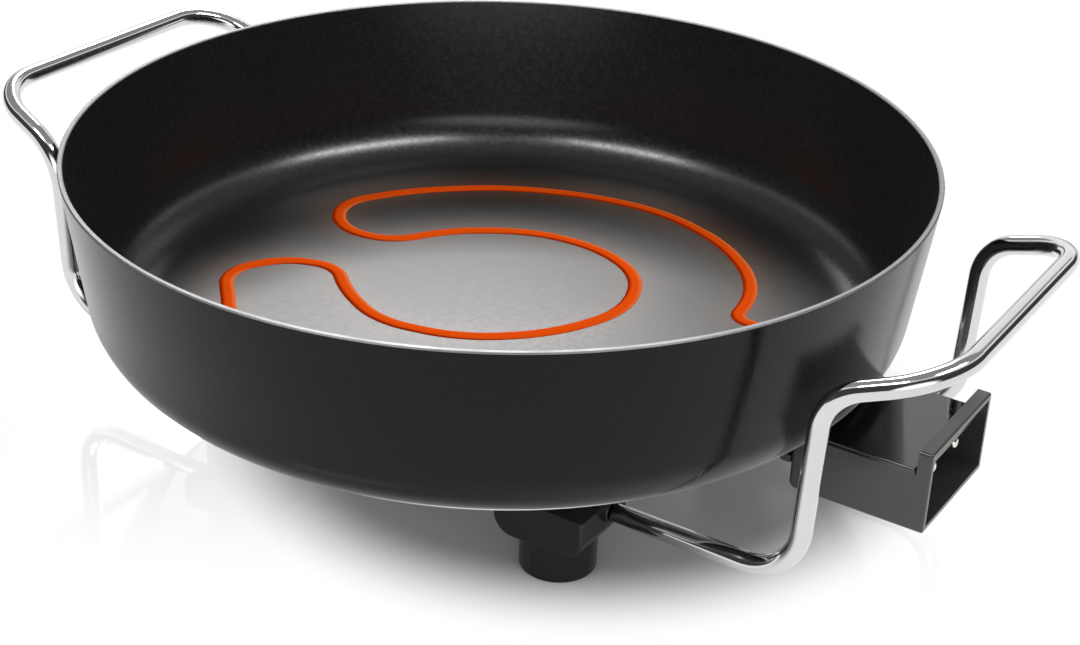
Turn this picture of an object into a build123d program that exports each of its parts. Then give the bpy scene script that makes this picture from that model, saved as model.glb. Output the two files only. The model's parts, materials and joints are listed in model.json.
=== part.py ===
"""Electric skillet: a round pan on four feet, two bent-rod handles, an inlet for a plug-in thermostat.

Millimetres. The origin is on the floor under the pan's centre. +X runs along the handles towards the inlet,
+Y runs across them and +Z is up.
"""
from build123d import *
import math
import os

# --- pan ---
RIM_RADIUS = 180.0
PAN_DEPTH = 79.2  # rim to the pan's own underside
PAN_WALL = 2.2
WALL_LEAN = 10.2  # how far the wall leans in from the rim to the underside
CORNER_RADIUS = 27.5  # outside, between wall and underside
LIP_CHAMFER = 0.4
GROUND_CLEARANCE = 51.8  # floor to the base plate
BASE_PLATE = 1.8  # thickness
BASE_PLATE_OVERHANG = 6.9  # past the flat part of the underside
BASE_PLATE_CHAMFER = 0.4

# --- heating element, let into the pan's floor ---
ELEMENT_WIDTH = 6.5
ELEMENT_CROWN = 0.5  # stands above the pan's floor
ELEMENT_WEB = 0.6  # metal left under the element's groove
ELEMENT_SHEATH = 0.6
ELEMENT_FIT = 0.05
WIRE_DEPTH = 1.3  # wire and pins, below the pan's floor
WIRE_RADIUS = 0.5
# Corners of the element's route on the floor, from the rear (+Y) end to the front (-Y) end. They suit a base
# whose flat part has the radius below.
LOOPS_BASE_RADIUS = 145.6
ELEMENT_LOOPS = [
    (102, 48), (89, 48), (85, 71.5), (73.5, 90.5), (50, 110.5), (12, 124), (-29, 119), (-69, 101),
    (-102, 70), (-119, 40),
    (-103, 18), (-75, 20), (-59, 47), (-28, 69), (7, 72), (36, 58), (48, 26), (34, -9),
    (5, -36), (-34, -44), (-62, -29), (-78, -14), (-102, -22), (-115, -47), (-96, -66), (-72, -92),
    (-33, -113), (12, -119), (52, -107), (75, -86), (85, -69), (89, -48), (102, -48),
]
BEND_SHARE = 0.48  # share of the shorter run that each bend of the route takes up

# --- contact pins and what holds them ---
PIN_SPACING = 22.0
PIN_RADIUS = 2.4
PIN_TIP_ROUND = 1.4
PIN_SHOULDER_RADIUS = 3.0  # of the part that the carrier holds
PIN_STEM_RADIUS = 1.1
PIN_SETBACK = 4.8  # pin tips, behind the mouth of the collar
PIN_FIT = 0.1
STEM_LENGTH = 16.0  # of each pin's stem inside the sheath
STEM_MARGIN = 1.0  # straight sheath past the stem's inner end
SEAL_LENGTH = 4.0
SEAL_RADIUS = 3.4
SEAL_EDGE = 0.5
SHEATH_REACH = 22.4  # past the flat part of the underside
CARRIER_THICKNESS = 4.0
CARRIER_SETBACK = 21.0  # carrier's outer face, behind the mouth
CARRIER_FIT = 0.2
SLEEVE_RADIUS = 3.6
SLEEVE_WALL = 0.5
SLEEVE_START = 12.4  # past the flat part of the underside

# --- inlet housing and its cover ---
INLET_WIDTH = 58.0
INLET_WALL = 2.5
INLET_REACH = 31.0  # mouth, past the rim
INLET_DROP = 14.3  # underside, below the base plate
INLET_CORNER = 1.6
TRAY_END_CORNER = 3.2  # round between the rear wall and the underside
COLLAR_LENGTH = 5.5
COLLAR_RISE = 20.4  # top of the collar, above the base plate's underside
COLLAR_BACK = 1.5  # wall behind the collar's upper half
COLLAR_CORNER = 1.2
MOUTH_EDGE = 1.0  # round around the mouth
COLLAR_SILL = 1.2  # wall left above the lower opening, below the cover
COVER_RISE = 12.4  # top of the cover, above the base plate's underside
COVER_THICKNESS = 2.2
COVER_GAP = 0.7
COVER_EDGE = 0.7
PAN_GAP = 0.3  # housing and cover to the pan
REAR_WALL_PLACE = 9.4  # past the flat part of the underside
FLANGE_REACH = 5.2
FLANGE_THICKNESS = 3.0
FLANGE_CORNER = 2.4
TAB_REACH = 11.0
TAB_WIDTH = 49.0
TAB_CORNER = 3.2
TAB_SCREW_SPACING = 39.0
TAB_SCREW_PLACE = -1.1  # past the flat part of the underside
TAB_SCREW_RADIUS = 1.9
TAB_SCREW_HEAD = 3.6
TAB_SCREW_HEAD_HEIGHT = 2.2
TAB_SCREW_REACH = 3.4  # into the base
COVER_SCREW_INSET = 5.4  # from the housing's side
COVER_SCREW_PLACE = 32.0  # behind the mouth
COVER_SCREW_RADIUS = 1.5
COVER_SCREW_HEAD = 2.1
COVER_SCREW_HEAD_HEIGHT = 1.7
COVER_SCREW_REACH = 8.0  # into the cover's peg
COVER_POST_RADIUS = 2.7
COVER_PEG_LENGTH = 11.0
RIB_DEPTH = 1.5
EARTH_WIDTH = 4.0
EARTH_THICKNESS = 0.8
EARTH_GAP = 0.4  # beside the element's end
EARTH_SETBACK = 7.0
EARTH_BUMP = 1.7  # radius of the ridge on the tongue
RIVET_RADIUS = 1.2
RIVET_HEAD = 1.9
RIVET_REACH = 1.2  # into the housing's floor
RIVET_PLACE = 5.5  # in front of the carrier

# --- feet ---
FOOT_X = 81.8
FOOT_Y = 77.3
LEG_RADIUS = 15.5
LEG_HEIGHT = 16.3  # floor to the bracket
LEG_EDGE = 0.8
PAD_RADIUS = 12.0
PAD_PROUD = 0.5
PAD_THICKNESS = 2.8
PAD_EDGE = 0.3
PAD_FIT = 0.2
BRACKET_LENGTH = 40.6
BRACKET_WIDTH = 34.0
BRACKET_HEIGHT = 18.2
BRACKET_KEEL = 9.0  # radius of the boat-shaped lower corners
BRACKET_EDGE = 1.4
POST_LENGTH = 26.0
POST_WIDTH = 22.0
BOSS_RADIUS = 5.0
BOSS_LENGTH = 13.6
BOSS_FIT = 0.2
FOOT_SCREW_RADIUS = 2.5
FOOT_SCREW_HEAD = 4.6
FOOT_SCREW_HEAD_HEIGHT = 3.0
FOOT_SCREW_REACH = 8.8  # into the boss
FOOT_SCREW_SEAT = 9.0  # underside of the seat in the leg, above the floor
WASHER_RADIUS = 5.0
WASHER_THICKNESS = 1.0
SCREW_FIT = 0.3
THREAD_FIT = 0.05
HEX_SHARE = 0.5  # size of a driving socket, as a share of its screw head
HEAD_CHAMFER_SHARE = 0.25  # of the head's height
SOCKET_DEPTH = 1.2

# --- handle rods ---
ROD_DIAMETER = 8.0
ROD_SEAT = 14.8  # rod's centre in the bracket, above the leg
ROD_INSET = 2.8  # rod's centre line, nearer the pan's centre than the foot's
ROD_END_GAP = 8.4  # rod's end, from the foot's centre
ROD_FIT = 0.1
ROD_END_CHAMFER = 0.5
SOCKET_WALL = 2.2
FERRULE_WALL = 0.9
FERRULE_LENGTH = 2.0
FERRULE_EDGE = 0.4
LEG_BOTTOM_REACH = 1.2  # corner of the rod under the rim, past the rim
BOTTOM_BEND = 22.0
BAR_REACH = 46.1  # middle of each bar, past the rim
RIGHT_LEG_TOP_REACH = 4.4
RIGHT_LEG_TOP_DROP = 22.3  # below the rim
RIGHT_BAR_DROP = 7.4
RIGHT_LEG_TOP_SPACING = 147.6
RIGHT_BAR_SPACING = 132.0
RIGHT_TOP_BEND = 20.4
RIGHT_BAR_BEND = 26.7
LEFT_LEG_TOP_REACH = 0.4  # the left rod is sprung a little wider than the right one
LEFT_LEG_TOP_DROP = 26.0
LEFT_BAR_DROP = 9.4
LEFT_LEG_TOP_SPACING = 154.6
LEFT_BAR_SPACING = 138.6
LEFT_TOP_BEND = 23.4
LEFT_BAR_BEND = 25.3
SET_SCREW_RADIUS = 2.0
SET_SCREW_PLACE = 14.0  # from the foot's centre

CUT_MARGIN = 1.0  # by which a cut passes the face it starts from

# --- levels and places that follow from the above ---
under = GROUND_CLEARANCE + BASE_PLATE
rim_level = under + PAN_DEPTH
floor_thickness = ELEMENT_WIDTH / 2 + ELEMENT_WEB
floor_level = under + floor_thickness
lean_angle = math.atan2(WALL_LEAN, PAN_DEPTH)
flat_radius = RIM_RADIUS - WALL_LEAN - CORNER_RADIUS * math.tan((math.pi / 2 - lean_angle) / 2)
mouth_x = RIM_RADIUS + INLET_REACH
sheath_end_x = flat_radius + SHEATH_REACH
pin_level = floor_level - WIRE_DEPTH
pin_y = PIN_SPACING / 2
earth_y = -(pin_y + ELEMENT_WIDTH / 2 + EARTH_GAP + EARTH_WIDTH / 2)
inlet_under = GROUND_CLEARANCE - INLET_DROP
inlet_floor = inlet_under + INLET_WALL
rear_wall_x = flat_radius + REAR_WALL_PLACE
cover_top = GROUND_CLEARANCE + COVER_RISE
cover_under = cover_top - COVER_THICKNESS
collar_top = GROUND_CLEARANCE + COLLAR_RISE
collar_x = mouth_x - COLLAR_LENGTH
carrier_x = mouth_x - CARRIER_SETBACK
rod_radius = ROD_DIAMETER / 2
rod_level = LEG_HEIGHT + ROD_SEAT
rod_y = FOOT_Y - ROD_INSET
bracket_top = LEG_HEIGHT + BRACKET_HEIGHT
boss_end = GROUND_CLEARANCE - BOSS_LENGTH
screw_tip = boss_end + FOOT_SCREW_REACH
foot_corners = {
    "front_right": (1, -1),
    "rear_right": (1, 1),
    "front_left": (-1, -1),
    "rear_left": (-1, 1),
}


def box(x0, x1, y0, y1, z0, z1):
    """A block between two corners."""
    middle = ((x0 + x1) / 2, (y0 + y1) / 2, (z0 + z1) / 2)
    return Pos(*middle) * Box(x1 - x0, y1 - y0, z1 - z0)


def upright(radius, x, y, z0, z1):
    """A vertical cylinder from z0 to z1."""
    return Pos(x, y, (z0 + z1) / 2) * Cylinder(radius, z1 - z0)


def lengthwise(radius, x0, x1, y, z):
    """A cylinder along X from x0 to x1."""
    return Pos((x0 + x1) / 2, y, z) * Rot(0, 90, 0) * Cylinder(radius, abs(x1 - x0))


def near(shape_list, x, y):
    """The vertex of a flat face that lies at x, y."""
    return shape_list.sort_by_distance((x, y, 0))[0]


# --- pan ---


def pan_profile(wall_inset, bottom, corner, top):
    """Half of the pan's section in X and Y of its own plane: axis, bottom, leaning wall."""
    lean = WALL_LEAN * (rim_level - bottom) / PAN_DEPTH
    low = (RIM_RADIUS - wall_inset - lean, bottom)
    rise = top - bottom
    high = (low[0] + rise * math.tan(lean_angle), top)
    outline = make_face(Polyline((0, bottom), low, high, (0, top), close=True))
    return fillet(near(outline.vertices(), *low), corner)


def revolved(profile):
    """A profile turned about Z, its second coordinate becoming the height."""
    return revolve(Plane.XZ * profile, Axis.Z)


def pan_outside(gap):
    """The pan and the base plate as one solid, grown by a gap."""
    profile = pan_profile(-gap, under - gap, CORNER_RADIUS, rim_level)
    plate = flat_radius + BASE_PLATE_OVERHANG + gap
    disc = upright(plate, 0, 0, GROUND_CLEARANCE, under + CORNER_RADIUS / 2)
    return revolved(profile) + disc


def pan_body():
    """The pressed shell with the groove for the element and the blind holes in its base."""
    outer = pan_profile(0, under, CORNER_RADIUS, rim_level)
    inner = pan_profile(PAN_WALL, floor_level, CORNER_RADIUS - floor_thickness, rim_level)
    section = outer - inner
    lip = [near(section.vertices(), RIM_RADIUS - inset, rim_level) for inset in (0, PAN_WALL)]
    shell = revolved(chamfer(lip, LIP_CHAMFER))
    shell -= element_sweep(element_section(ELEMENT_FIT))
    shell -= probe_hole()
    for screw in tab_screw_holes():
        shell -= screw
    return shell


def base_plate():
    """The disc under the pan, with a chamfered lower edge."""
    plate = upright(flat_radius + BASE_PLATE_OVERHANG, 0, 0, GROUND_CLEARANCE, under)
    rim = plate.edges().filter_by(GeomType.CIRCLE).sort_by(Axis.Z)[0]
    plate = chamfer(rim, BASE_PLATE_CHAMFER)
    for screw in tab_screw_holes():
        plate -= screw
    return plate


# --- heating element ---


def element_corners():
    """The route's corners from one end of the sheath to the other."""
    growth = flat_radius / LOOPS_BASE_RADIUS
    loops = [(x * growth, y * growth) for x, y in ELEMENT_LOOPS]
    turn_in = sheath_end_x - (STEM_LENGTH + STEM_MARGIN) / (1 - BEND_SHARE)
    rear_end = [(sheath_end_x, pin_y), (turn_in, pin_y)]
    front_end = [(turn_in, -pin_y), (sheath_end_x, -pin_y)]
    return rear_end + loops + front_end


def element_path(shortening):
    """Straight runs joined by tangent arcs that take up most of each run, shortened at both ends."""
    corners = [Vector(x, y, floor_level) for x, y in element_corners()]
    radii = []
    for before, corner, after in zip(corners, corners[1:], corners[2:]):
        arriving = corner - before
        leaving = after - corner
        turn = math.radians(arriving.get_angle(leaving))
        shorter = min(arriving.length, leaving.length)
        radii.append(BEND_SHARE * shorter / math.tan(turn / 2))
    corners[0] -= Vector(shortening, 0, 0)
    corners[-1] -= Vector(shortening, 0, 0)
    return FilletPolyline(*corners, radius=radii)


def element_section(growth):
    """Half-round below the pan's floor and a low crown above it."""
    half = ELEMENT_WIDTH / 2 + growth
    crown = ThreePointArc((-half, 0), (0, ELEMENT_CROWN + growth), (half, 0))
    belly = ThreePointArc((half, 0), (0, -half), (-half, 0))
    return make_face([crown, belly])


def round_section(radius):
    """The wire's section, below the pan's floor."""
    return Pos(0, -WIRE_DEPTH) * Circle(radius)


def element_sweep(section, shortening=0):
    """A section carried along the element's route."""
    origin = (sheath_end_x - shortening, pin_y, floor_level)
    start = Plane(origin=origin, x_dir=(0, -1, 0), z_dir=(-1, 0, 0))
    return sweep(start * section, path=element_path(shortening))


def stem_holes(radius):
    """The room for both pins' stems at the element's ends."""
    start = sheath_end_x - STEM_LENGTH
    return [lengthwise(radius, start, sheath_end_x, side * pin_y, pin_level) for side in (-1, 1)]


def element_parts():
    """Sheath, filling and resistance wire, one inside the other."""
    inside = element_section(-ELEMENT_SHEATH)
    sheath = element_sweep(element_section(0) - inside)
    filling = element_sweep(inside - round_section(WIRE_RADIUS + ELEMENT_FIT))
    for hole in stem_holes(PIN_STEM_RADIUS + ELEMENT_FIT):
        filling -= hole
    wire = element_sweep(round_section(WIRE_RADIUS), STEM_LENGTH)
    return {"element_sheath": sheath, "element_filling": filling, "element_wire": wire}


# --- pins, seals, carrier, sleeve ---


def contact_pin(side):
    """A pin: a thin stem in the element's end, a shoulder in the carrier and a rounded free end."""
    seal_end = sheath_end_x + SEAL_LENGTH
    tip = mouth_x - PIN_SETBACK
    shank = lengthwise(PIN_RADIUS, carrier_x, tip, side * pin_y, pin_level)
    end = shank.edges().filter_by(GeomType.CIRCLE).sort_by(Axis.X)[-1]
    shank = fillet(end, PIN_TIP_ROUND)
    shoulder = lengthwise(PIN_SHOULDER_RADIUS, seal_end, carrier_x, side * pin_y, pin_level)
    stem = lengthwise(PIN_STEM_RADIUS, sheath_end_x - STEM_LENGTH, seal_end, side * pin_y, pin_level)
    return shank + shoulder + stem


def end_seal(side):
    """The insulating bead on a pin's stem, against the end of the sheath."""
    end = sheath_end_x + SEAL_LENGTH
    bead = lengthwise(SEAL_RADIUS, sheath_end_x, end, side * pin_y, pin_level)
    rims = bead.edges().filter_by(GeomType.CIRCLE)
    bead = fillet(rims, SEAL_EDGE)
    return bead - lengthwise(PIN_STEM_RADIUS + ELEMENT_FIT, sheath_end_x, end, side * pin_y, pin_level)


def probe_hole():
    """The blind hole in the pan's corner that the probe sleeve enters."""
    start = flat_radius + SLEEVE_START
    return lengthwise(SLEEVE_RADIUS + ELEMENT_FIT, start, mouth_x, 0, pin_level)


def probe_sleeve():
    """The thin tube from the pan's corner to the pin carrier."""
    start = flat_radius + SLEEVE_START
    end = carrier_x - CARRIER_THICKNESS
    tube = lengthwise(SLEEVE_RADIUS, start, end, 0, pin_level)
    return tube - lengthwise(SLEEVE_RADIUS - SLEEVE_WALL, start, end, 0, pin_level)


def pin_carrier():
    """The insulating plate across the housing, with holes for both pins and the probe."""
    half = INLET_WIDTH / 2 - INLET_WALL - CARRIER_FIT
    back = carrier_x - CARRIER_THICKNESS
    plate = box(back, carrier_x, -half, half, inlet_floor, cover_under - CARRIER_FIT)
    for side in (-1, 1):
        plate -= lengthwise(PIN_SHOULDER_RADIUS + PIN_FIT, back, carrier_x, side * pin_y, pin_level)
    plate -= lengthwise(SLEEVE_RADIUS - SLEEVE_WALL, back, carrier_x, 0, pin_level)
    half_slot = EARTH_WIDTH / 2 + CARRIER_FIT
    slot_top = inlet_floor + EARTH_THICKNESS + CARRIER_FIT
    plate -= box(back, carrier_x, earth_y - half_slot, earth_y + half_slot, inlet_floor, slot_top)
    return plate


def earth_rivet_place():
    """Centre of the rivet that holds the earth strip to the housing's floor."""
    return carrier_x + RIVET_PLACE, earth_y


def earth_strip():
    """The strip that earths the pan: up to the pan's corner behind, a sprung tongue in the mouth."""
    y0 = earth_y - EARTH_WIDTH / 2
    y1 = earth_y + EARTH_WIDTH / 2
    rear = rear_wall_x + INLET_WALL + CARRIER_FIT
    front = mouth_x - EARTH_SETBACK
    strip = box(rear, front, y0, y1, inlet_floor, inlet_floor + EARTH_THICKNESS)
    strip += box(rear, rear + EARTH_THICKNESS, y0, y1, inlet_floor, cover_under)
    strip -= pan_outside(PAN_GAP)
    bump = Pos(front - EARTH_BUMP, earth_y, inlet_floor) * Rot(90, 0, 0) * Cylinder(EARTH_BUMP, EARTH_WIDTH)
    strip += bump - box(rear, mouth_x, y0 - CUT_MARGIN, y1 + CUT_MARGIN, 0, inlet_floor)
    x, y = earth_rivet_place()
    return strip - upright(RIVET_RADIUS, x, y, inlet_floor, inlet_floor + EARTH_THICKNESS)


def earth_rivet():
    """The rivet through the strip and the housing's floor."""
    x, y = earth_rivet_place()
    head = inlet_floor + EARTH_THICKNESS
    shank = upright(RIVET_RADIUS, x, y, inlet_floor - RIVET_REACH, head)
    return shank + upright(RIVET_HEAD, x, y, head, head + EARTH_THICKNESS)


# --- inlet housing and cover ---


def tab_screw_places():
    """Centres of the two screws that hold the housing's tab to the base."""
    return [(flat_radius + TAB_SCREW_PLACE, side * TAB_SCREW_SPACING / 2) for side in (-1, 1)]


def tab_screw_holes():
    """The tapped blind holes in the base plate and the pan for the housing's screws."""
    end = GROUND_CLEARANCE + TAB_SCREW_REACH + THREAD_FIT
    radius = TAB_SCREW_RADIUS + THREAD_FIT
    return [upright(radius, x, y, GROUND_CLEARANCE, end) for x, y in tab_screw_places()]


def cover_screw_places():
    """Centres of the two screws that hold the cover."""
    reach = INLET_WIDTH / 2 - COVER_SCREW_INSET
    return [(mouth_x - COVER_SCREW_PLACE, side * reach) for side in (-1, 1)]


def socket_cut(head_radius, x, y, z):
    """A six-sided driving socket in a head whose face looks down at z."""
    outline = RegularPolygon(head_radius * HEX_SHARE, 6)
    return Pos(x, y, z) * extrude(outline, SOCKET_DEPTH)


def down_screw(x, y, head, head_height, head_face, shank, tip):
    """A screw driven upwards: a chamfered head whose face is at head_face, and a shank up to tip."""
    body = upright(head, x, y, head_face, head_face + head_height)
    rim = body.edges().filter_by(GeomType.CIRCLE).sort_by(Axis.Z)[0]
    body = chamfer(rim, head_height * HEAD_CHAMFER_SHARE)
    body += upright(shank, x, y, head_face + head_height, tip)
    return body - socket_cut(head, x, y, head_face)


def inlet_housing():
    """The moulded tray with its collar, rear flange and fixing tab, shaped to the pan above it."""
    half = INLET_WIDTH / 2
    tray = box(rear_wall_x, collar_x, -half, half, inlet_under, cover_under)
    tray = fillet(tray.edges().filter_by(Axis.Y).group_by(Axis.Z)[0].sort_by(Axis.X)[0], TRAY_END_CORNER)
    tray = fillet(tray.edges().filter_by(Axis.X).group_by(Axis.Z)[0], INLET_CORNER)
    collar = box(collar_x, mouth_x, -half, half, inlet_under, collar_top)
    collar = fillet(collar.edges().filter_by(Axis.X).group_by(Axis.Z)[0], INLET_CORNER)
    collar = fillet(collar.edges().filter_by(Axis.X).group_by(Axis.Z)[-1], COLLAR_CORNER)
    collar = fillet(collar.faces().sort_by(Axis.X)[-1].edges(), MOUTH_EDGE)
    body = tray + collar
    inner = half - INLET_WALL
    body -= box(rear_wall_x + INLET_WALL, collar_x, -inner, inner, inlet_floor, cover_under)
    body -= box(rear_wall_x, collar_x, -inner, inner, GROUND_CLEARANCE, cover_under)
    body -= box(collar_x, mouth_x, -inner, inner, inlet_floor, cover_under - COLLAR_SILL)
    pocket_x = collar_x + COLLAR_BACK
    body -= box(pocket_x, mouth_x, -inner, inner, inlet_floor, collar_top - INLET_WALL)
    flange_under = GROUND_CLEARANCE - FLANGE_THICKNESS
    flange = box(rear_wall_x - FLANGE_REACH, rear_wall_x, -half, half, flange_under, GROUND_CLEARANCE)
    flange_end = flange.edges().filter_by(Axis.Y).group_by(Axis.Z)[0].sort_by(Axis.X)[0]
    body += fillet(flange_end, FLANGE_CORNER)
    tab_x = rear_wall_x - FLANGE_REACH - TAB_REACH
    half_tab = TAB_WIDTH / 2
    tab = box(tab_x, rear_wall_x, -half_tab, half_tab, flange_under, GROUND_CLEARANCE)
    body += fillet(tab.edges().filter_by(Axis.Z).group_by(Axis.X)[0], TAB_CORNER)
    for x, y in cover_screw_places():
        body += upright(COVER_POST_RADIUS, x, y, inlet_floor, cover_under - COVER_PEG_LENGTH)
    body += carrier_ribs(inner)
    body -= pan_outside(PAN_GAP)
    for x, y in cover_screw_places():
        body -= upright(COVER_SCREW_RADIUS + SCREW_FIT / 2, x, y, inlet_under, cover_under)
        head_end = inlet_under + COVER_SCREW_HEAD_HEIGHT
        body -= upright(COVER_SCREW_HEAD + SCREW_FIT, x, y, inlet_under, head_end)
    for x, y in tab_screw_places():
        body -= upright(TAB_SCREW_RADIUS + SCREW_FIT, x, y, flange_under, GROUND_CLEARANCE)
    x, y = earth_rivet_place()
    body -= upright(RIVET_RADIUS, x, y, inlet_floor - RIVET_REACH, inlet_floor)
    return body


def carrier_ribs(inner):
    """Upright ribs on the side walls, before and behind the pin carrier."""
    ribs = []
    for x in (carrier_x + CARRIER_FIT, carrier_x - CARRIER_THICKNESS - CARRIER_FIT - RIB_DEPTH):
        for side in (-1, 1):
            y0, y1 = sorted((side * inner, side * (inner - RIB_DEPTH)))
            ribs.append(box(x, x + RIB_DEPTH, y0, y1, inlet_floor, cover_under - CARRIER_FIT))
    return ribs


def inlet_cover():
    """The plate on the side walls, with a peg for each screw and a soft upper edge."""
    half = INLET_WIDTH / 2
    front = collar_x - COVER_GAP
    plate = box(flat_radius, front, -half, half, cover_under, cover_top)
    top_edges = plate.faces().sort_by(Axis.Z)[-1].edges()
    front_edge = top_edges.filter_by(Axis.Y).sort_by(Axis.X)[-1]
    plate = fillet(top_edges.filter_by(Axis.X) + [front_edge], COVER_EDGE)
    for x, y in cover_screw_places():
        plate += upright(COVER_POST_RADIUS, x, y, cover_under - COVER_PEG_LENGTH, cover_under)
        hole_end = cover_under - COVER_PEG_LENGTH + COVER_SCREW_REACH + THREAD_FIT
        radius = COVER_SCREW_RADIUS + THREAD_FIT
        plate -= upright(radius, x, y, cover_under - COVER_PEG_LENGTH, hole_end)
    return plate - pan_outside(PAN_GAP)


def tab_screws():
    """The two screws through the housing's tab into the base."""
    head_face = GROUND_CLEARANCE - FLANGE_THICKNESS - TAB_SCREW_HEAD_HEIGHT
    tip = GROUND_CLEARANCE + TAB_SCREW_REACH
    sizes = (TAB_SCREW_HEAD, TAB_SCREW_HEAD_HEIGHT, head_face, TAB_SCREW_RADIUS, tip)
    return [down_screw(x, y, *sizes) for x, y in tab_screw_places()]


def cover_screws():
    """The two screws through the housing's floor into the cover's pegs."""
    tip = cover_under - COVER_PEG_LENGTH + COVER_SCREW_REACH
    sizes = (COVER_SCREW_HEAD, COVER_SCREW_HEAD_HEIGHT, inlet_under, COVER_SCREW_RADIUS, tip)
    return [down_screw(x, y, *sizes) for x, y in cover_screw_places()]


# --- feet: each is made about its own axis for the +X +Y corner and mirrored to its place ---


def at_corner(shape, side_x, side_y):
    """A piece of the +X +Y foot, moved to its place and mirrored to another corner."""
    placed = Pos(FOOT_X, FOOT_Y, 0) * shape
    if side_x < 0:
        placed = mirror(placed, Plane.YZ)
    if side_y < 0:
        placed = mirror(placed, Plane.XZ)
    return placed


def foot_bracket():
    """The boat-shaped shoe, with a post up to the base and a socket for the rod's end."""
    half_length = BRACKET_LENGTH / 2
    half_width = BRACKET_WIDTH / 2
    hull = box(-half_length, half_length, -half_width, half_width, LEG_HEIGHT, bracket_top)
    keel = hull.edges().filter_by(Axis.Y).group_by(Axis.Z)[0]
    hull = fillet(keel, BRACKET_KEEL)
    hull = fillet(hull.edges().filter_by(Axis.Z), BRACKET_EDGE)
    half_post = POST_LENGTH / 2
    post = box(-half_post, half_post, -POST_WIDTH / 2, POST_WIDTH / 2, LEG_HEIGHT, GROUND_CLEARANCE)
    post = fillet(post.edges().filter_by(Axis.Z), BRACKET_EDGE)
    socket = lengthwise(rod_radius + SOCKET_WALL, 0, half_length, -ROD_INSET, rod_level)
    body = hull + post + socket
    body -= upright(BOSS_RADIUS + BOSS_FIT, 0, 0, boss_end - BOSS_FIT, GROUND_CLEARANCE)
    body -= upright(FOOT_SCREW_RADIUS + SCREW_FIT, 0, 0, LEG_HEIGHT, GROUND_CLEARANCE)
    body -= lengthwise(rod_radius + ROD_FIT, ROD_END_GAP - ROD_FIT, half_length, -ROD_INSET, rod_level)
    body -= upright(SET_SCREW_RADIUS + THREAD_FIT, SET_SCREW_PLACE, -ROD_INSET, LEG_HEIGHT, rod_level)
    return body


def foot_leg():
    """The round leg, with a seat for the screw's head and a recess for the pad."""
    body = upright(LEG_RADIUS, 0, 0, PAD_PROUD, LEG_HEIGHT)
    rim = body.edges().filter_by(GeomType.CIRCLE).sort_by(Axis.Z)[0]
    body = fillet(rim, LEG_EDGE)
    body -= upright(PAD_RADIUS + PAD_FIT, 0, 0, PAD_PROUD, PAD_THICKNESS)
    body -= upright(WASHER_RADIUS + SCREW_FIT, 0, 0, PAD_THICKNESS, FOOT_SCREW_SEAT)
    return body - upright(FOOT_SCREW_RADIUS + SCREW_FIT, 0, 0, FOOT_SCREW_SEAT, LEG_HEIGHT)


def foot_pad():
    """The soft disc that stands on the floor."""
    pad = upright(PAD_RADIUS, 0, 0, 0, PAD_THICKNESS)
    rim = pad.edges().filter_by(GeomType.CIRCLE).sort_by(Axis.Z)[0]
    return fillet(rim, PAD_EDGE)


def foot_boss():
    """The threaded boss welded under the base plate."""
    body = upright(BOSS_RADIUS, 0, 0, boss_end, GROUND_CLEARANCE)
    return body - upright(FOOT_SCREW_RADIUS + THREAD_FIT, 0, 0, boss_end, screw_tip + THREAD_FIT)


def foot_screw():
    """The long screw from the leg up into the boss."""
    head_face = FOOT_SCREW_SEAT - WASHER_THICKNESS - FOOT_SCREW_HEAD_HEIGHT
    return down_screw(0, 0, FOOT_SCREW_HEAD, FOOT_SCREW_HEAD_HEIGHT, head_face, FOOT_SCREW_RADIUS, screw_tip)


def foot_washer():
    """The washer between the screw's head and the leg."""
    bottom = FOOT_SCREW_SEAT - WASHER_THICKNESS
    ring = upright(WASHER_RADIUS, 0, 0, bottom, FOOT_SCREW_SEAT)
    return ring - upright(FOOT_SCREW_RADIUS + SCREW_FIT, 0, 0, bottom, FOOT_SCREW_SEAT)


def set_screw():
    """The socket set screw that holds the rod's end from below."""
    top = rod_level - rod_radius
    bottom = LEG_HEIGHT + SOCKET_DEPTH
    body = upright(SET_SCREW_RADIUS, SET_SCREW_PLACE, -ROD_INSET, bottom, top)
    return body - socket_cut(SET_SCREW_RADIUS, SET_SCREW_PLACE, -ROD_INSET, bottom)


def rod_ferrule():
    """The ring on the rod against the bracket's outer face."""
    start = BRACKET_LENGTH / 2
    end = start + FERRULE_LENGTH
    ring = lengthwise(rod_radius + FERRULE_WALL, start, end, -ROD_INSET, rod_level)
    rim = ring.edges().filter_by(GeomType.CIRCLE).sort_by(Axis.X)[-1]
    ring = fillet(rim, FERRULE_EDGE)
    return ring - lengthwise(rod_radius + ROD_FIT / 2, start, end, -ROD_INSET, rod_level)


# --- handles ---


def handle_rod(leg_top, bar, top_bend, bar_bend):
    """A rod on the +X side: in from one bracket, up beside the pan, out and across, and back.

    leg_top and bar are each a corner's reach past the rim, its distance from its twin and its drop below it.
    """
    start_x = FOOT_X + ROD_END_GAP
    bottom_x = RIM_RADIUS + LEG_BOTTOM_REACH
    half = [(start_x, rod_y, rod_level), (bottom_x, rod_y, rod_level)]
    for reach, spacing, drop in (leg_top, bar):
        half.append((RIM_RADIUS + reach, spacing / 2, rim_level - drop))
    other_half = [(x, -y, z) for x, y, z in reversed(half)]
    bends = [BOTTOM_BEND, top_bend, bar_bend]
    path = FilletPolyline(*half, *other_half, radius=bends + bends[::-1])
    start = Plane(origin=half[0], z_dir=(1, 0, 0))
    rod = sweep(start * Circle(rod_radius), path=path)
    ends = rod.edges().filter_by(GeomType.CIRCLE).sort_by(Axis.X)[:2]
    return chamfer(ends, ROD_END_CHAMFER)


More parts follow.
